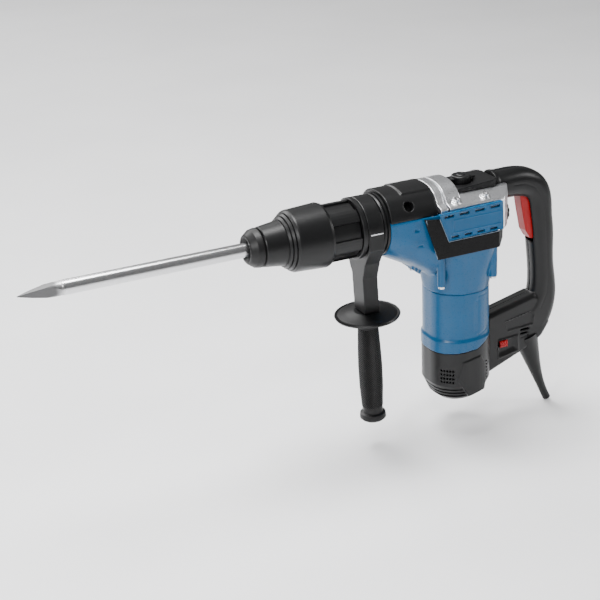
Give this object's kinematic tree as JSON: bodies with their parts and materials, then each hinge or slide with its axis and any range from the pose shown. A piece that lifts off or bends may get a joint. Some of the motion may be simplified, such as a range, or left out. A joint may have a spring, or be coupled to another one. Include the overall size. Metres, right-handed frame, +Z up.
{
  "type": "electric demolition hammer",
  "caption": "Corded electric demolition hammer with a pointed chisel, twist-ring tool holder, side handle, upright motor and a closed rear handle with trigger.",
  "frame": {"origin": "on the tool axis at the front lip of the dust cap", "axes": "-X along the chisel towards its point, +Z up with the motor hanging below, -Y is the left side seen from behind the handle"},
  "size_m": [0.72, 0.1048, 0.3491],
  "materials": {
    "black_plastic": "fine moulded grain",
    "blue_plastic": "satin moulded",
    "red_plastic": "satin",
    "cast_aluminium": "satin die casting",
    "polished_steel": "ground and polished",
    "aluminium_piston": "machined",
    "rubber": "textured",
    "laminated_iron": "stacked sheet",
    "copper": "bare",
    "carbon": "pressed carbon"
  },
  "bodies": {
    "housing": {"barrel_neck": "black_plastic", "gear_cover": "black_plastic", "gearbox_housing": "cast_aluminium", "transmission_housing": "blue_plastic", "motor_housing": "blue_plastic", "motor_end_cap": "black_plastic", "side_cover_left": "blue_plastic", "side_cover_right": "blue_plastic", "trim_band_left": "black_plastic", "trim_band_right": "black_plastic", "top_platform": "black_plastic", "handle_shell_left": "black_plastic", "handle_shell_right": "black_plastic", "cable_boot": "rubber", "cylinder_tube": "polished_steel", "bearing_plate": "cast_aluminium", "crank_bearings": "polished_steel", "motor_bearing_top": "polished_steel", "motor_bearing_bottom": "polished_steel", "stator_core": "laminated_iron", "field_coils": "copper", "brush_holders": "copper", "carbon_brushes": "carbon", "switch_module": "black_plastic", "electronics_module": "black_plastic", "trigger_pin": "polished_steel", "gearbox_screws": "polished_steel", "housing_screws": "polished_steel", "handle_screws": "polished_steel"},
    "tool_holder": {"holder_tube": "polished_steel", "dust_cap": "rubber", "lock_rollers": "polished_steel", "adjusting_ring": "black_plastic", "sleeve_spring": "polished_steel"},
    "sleeve": {"locking_sleeve": "black_plastic"},
    "chisel": {"chisel": "polished_steel"},
    "impact_bolt": {"impact_bolt": "polished_steel"},
    "ram": {"ram": "polished_steel", "ram_ring": "rubber"},
    "piston": {"piston": "aluminium_piston", "wrist_pin": "polished_steel"},
    "rod": {"connecting_rod": "polished_steel"},
    "crank": {"crank_gear": "polished_steel"},
    "armature": {"armature_shaft": "polished_steel", "armature_core": "laminated_iron", "commutator": "copper", "cooling_fan": "black_plastic"},
    "knob": {"mode_knob": "black_plastic"},
    "dial": {"speed_dial": "black_plastic"},
    "trigger": {"trigger": "red_plastic"},
    "slider": {"lock_slider": "red_plastic"},
    "side_clamp": {"handle_clamp": "black_plastic"},
    "side_grip": {"side_grip": "rubber", "hand_guard": "black_plastic", "grip_stud": "polished_steel"}
  },
  "joints": [
    {"name": "holder_turn", "type": "hinge", "parent": "housing", "child": "tool_holder", "pos_m": [0, 0, 0], "axis": [1, 0, 0], "continuous": true},
    {"name": "sleeve_pull", "type": "slide", "parent": "tool_holder", "child": "sleeve", "axis": [1, 0, 0], "range_m": [0, 0.008], "stiffness_N_per_m": 1500, "springref_m": -0.006, "deforming": ["sleeve_spring"]},
    {"name": "chisel_stroke", "type": "slide", "parent": "tool_holder", "child": "chisel", "axis": [-1, 0, 0], "range_m": [0, 0.01]},
    {"name": "bolt_slide", "type": "slide", "parent": "tool_holder", "child": "impact_bolt", "axis": [1, 0, 0], "range_m": [0, 0.006]},
    {"name": "ram_slide", "type": "slide", "parent": "housing", "child": "ram", "axis": [1, 0, 0], "range_m": [0, 0.01]},
    {"name": "piston_slide", "type": "slide", "parent": "housing", "child": "piston", "axis": [1, 0, 0], "range_m": [0, 0.024]},
    {"name": "rod_swing", "type": "hinge", "parent": "piston", "child": "rod", "pos_m": [0.207, 0, 0], "axis": [0, 0, 1], "range_deg": [-17, 17]},
    {"name": "armature_spin", "type": "hinge", "parent": "housing", "child": "armature", "pos_m": [0.29, 0, 0], "axis": [0, 0, 1], "continuous": true},
    {"name": "crank_spin", "type": "hinge", "parent": "housing", "child": "crank", "pos_m": [0.26, 0, 0], "axis": [0, 0, 1], "continuous": true},
    {"name": "knob_turn", "type": "hinge", "parent": "housing", "child": "knob", "pos_m": [0.298, 0, 0.035], "axis": [0, 0, 1], "range_deg": [0, 90]},
    {"name": "dial_turn", "type": "hinge", "parent": "housing", "child": "dial", "pos_m": [0.358, 0, -0.017], "axis": [1, 0, 0], "range_deg": [-135, 135]},
    {"name": "trigger_pull", "type": "hinge", "parent": "housing", "child": "trigger", "pos_m": [0.394, 0, 0.011], "axis": [0, -1, 0], "range_deg": [0, 7], "stiffness_Nm_per_rad": 1.2, "springref_deg": -8.59},
    {"name": "slider_move", "type": "slide", "parent": "housing", "child": "slider", "axis": [-1, 0, 0], "range_m": [0, 0.004]},
    {"name": "side_handle_swivel", "type": "hinge", "parent": "housing", "child": "side_clamp", "pos_m": [0.157, 0, 0], "axis": [1, 0, 0], "continuous": true},
    {"name": "grip_turn", "type": "hinge", "parent": "side_clamp", "child": "side_grip", "pos_m": [0.16198, 0, -0.15], "axis": [0.0332, 0, -0.9995], "continuous": true}
  ],
  "couplings": [
    {"joint": "crank_spin", "follows": "armature_spin", "ratio": -0.25}
  ]
}
